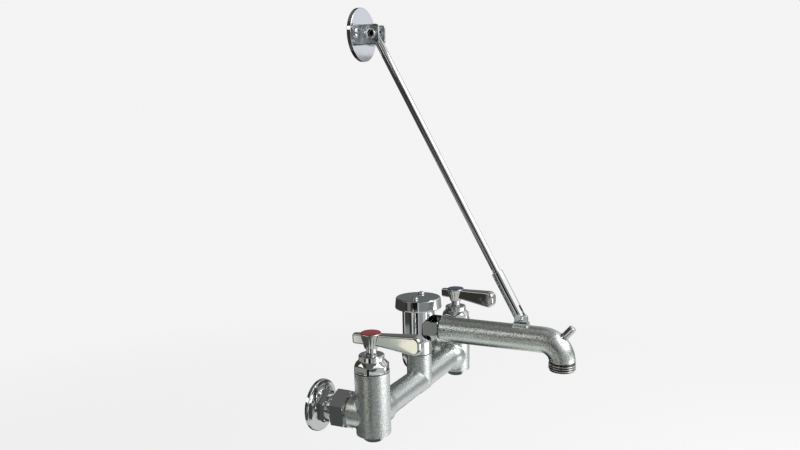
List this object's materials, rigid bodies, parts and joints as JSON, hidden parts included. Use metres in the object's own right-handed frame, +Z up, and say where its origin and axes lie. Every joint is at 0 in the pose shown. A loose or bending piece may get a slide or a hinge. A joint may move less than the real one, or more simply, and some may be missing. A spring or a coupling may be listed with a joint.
{
  "type": "commercial wall faucet",
  "caption": "Wall faucet on two inlets with lever valves, a bell-capped vacuum breaker, a hose thread spout with a pail hook and a slanted wall brace.",
  "frame": {"origin": "midway between the two inlets on the wall plane, at the height of the inlets", "axes": "+X from the hot inlet to the cold inlet, +Y into the wall, so the spout points to -Y, and +Z up"},
  "size_m": [0.254, 0.2288, 0.4048],
  "materials": {
    "rough_chrome": "chrome plate over a rough sand casting, satin",
    "polished_chrome": "polished chrome plate",
    "plain_brass": "machined",
    "spring_bronze": "drawn wire",
    "white_ceramic": "lapped ceramic",
    "black_rubber": "matte",
    "float_plastic": "moulded",
    "red_button": "glossy",
    "blue_button": "glossy",
    "blue_zinc": "bright zinc plate with a blue tint",
    "dark_steel": "black oxide"
  },
  "bodies": {
    "faucet": {"valve_body": "rough_chrome", "hot_wall_flange": "polished_chrome", "cold_wall_flange": "polished_chrome", "hot_nut_ring": "spring_bronze", "cold_nut_ring": "spring_bronze", "hot_coupling_nut": "polished_chrome", "cold_coupling_nut": "polished_chrome", "hot_inlet_washer": "black_rubber", "cold_inlet_washer": "black_rubber", "hot_bottom_plug": "polished_chrome", "cold_bottom_plug": "polished_chrome", "hot_plug_washer": "black_rubber", "cold_plug_washer": "black_rubber", "hot_seat_seal": "black_rubber", "cold_seat_seal": "black_rubber", "hot_cartridge": "plain_brass", "cold_cartridge": "plain_brass", "hot_fixed_disc": "white_ceramic", "cold_fixed_disc": "white_ceramic", "hot_bonnet_gasket": "black_rubber", "cold_bonnet_gasket": "black_rubber", "hot_bonnet": "polished_chrome", "cold_bonnet": "polished_chrome", "breaker_gasket": "black_rubber", "breaker_body": "polished_chrome", "breaker_bonnet": "polished_chrome", "breaker_cap": "polished_chrome", "cap_screws": "polished_chrome", "spout_gasket": "black_rubber", "spout_nut": "polished_chrome", "spout": "rough_chrome", "hose_outlet": "polished_chrome", "pail_hook": "polished_chrome", "brace_lug": "polished_chrome", "brace_pin": "polished_chrome"},
    "hot_handle": {"hot_lever": "polished_chrome", "hot_handle_screw": "plain_brass", "hot_index_button": "red_button", "hot_stem": "polished_chrome", "hot_turning_disc": "white_ceramic"},
    "cold_handle": {"cold_lever": "polished_chrome", "cold_handle_screw": "plain_brass", "cold_index_button": "blue_button", "cold_stem": "polished_chrome", "cold_turning_disc": "white_ceramic"},
    "float": {"breaker_float": "float_plastic", "float_seal": "black_rubber"},
    "sleeve": {"brace_sleeve": "polished_chrome", "brace_set_screw": "dark_steel"},
    "rod": {"brace_rod": "polished_chrome"},
    "wall_bracket": {"brace_bracket": "blue_zinc", "bracket_pin": "blue_zinc", "brace_flange": "polished_chrome", "flange_screws": "blue_zinc"}
  },
  "joints": [
    {"name": "hot_handle_turn", "type": "hinge", "parent": "faucet", "child": "hot_handle", "pos_m": [-0.1016, -0.06, 0.064], "axis": [0, 0, 1], "range_deg": [0, 90]},
    {"name": "cold_handle_turn", "type": "hinge", "parent": "faucet", "child": "cold_handle", "pos_m": [0.1016, -0.06, 0.064], "axis": [0, 0, -1], "range_deg": [0, 90]},
    {"name": "breaker_float_lift", "type": "slide", "parent": "faucet", "child": "float", "axis": [0, 0, 1], "range_m": [0, 0.0042]},
    {"name": "brace_pivot", "type": "hinge", "parent": "faucet", "child": "sleeve", "pos_m": [0, -0.1709, 0.081], "axis": [1, 0, 0], "range_deg": [-15, 45]},
    {"name": "brace_extend", "type": "slide", "parent": "sleeve", "child": "rod", "axis": [0, 0.4916, 0.8708], "range_m": [-0.01, 0.014]},
    {"name": "brace_flange_pivot", "type": "hinge", "parent": "rod", "child": "wall_bracket", "pos_m": [0, -0.017, 0.3536], "axis": [1, 0, 0], "range_deg": [-30, 60]}
  ]
}
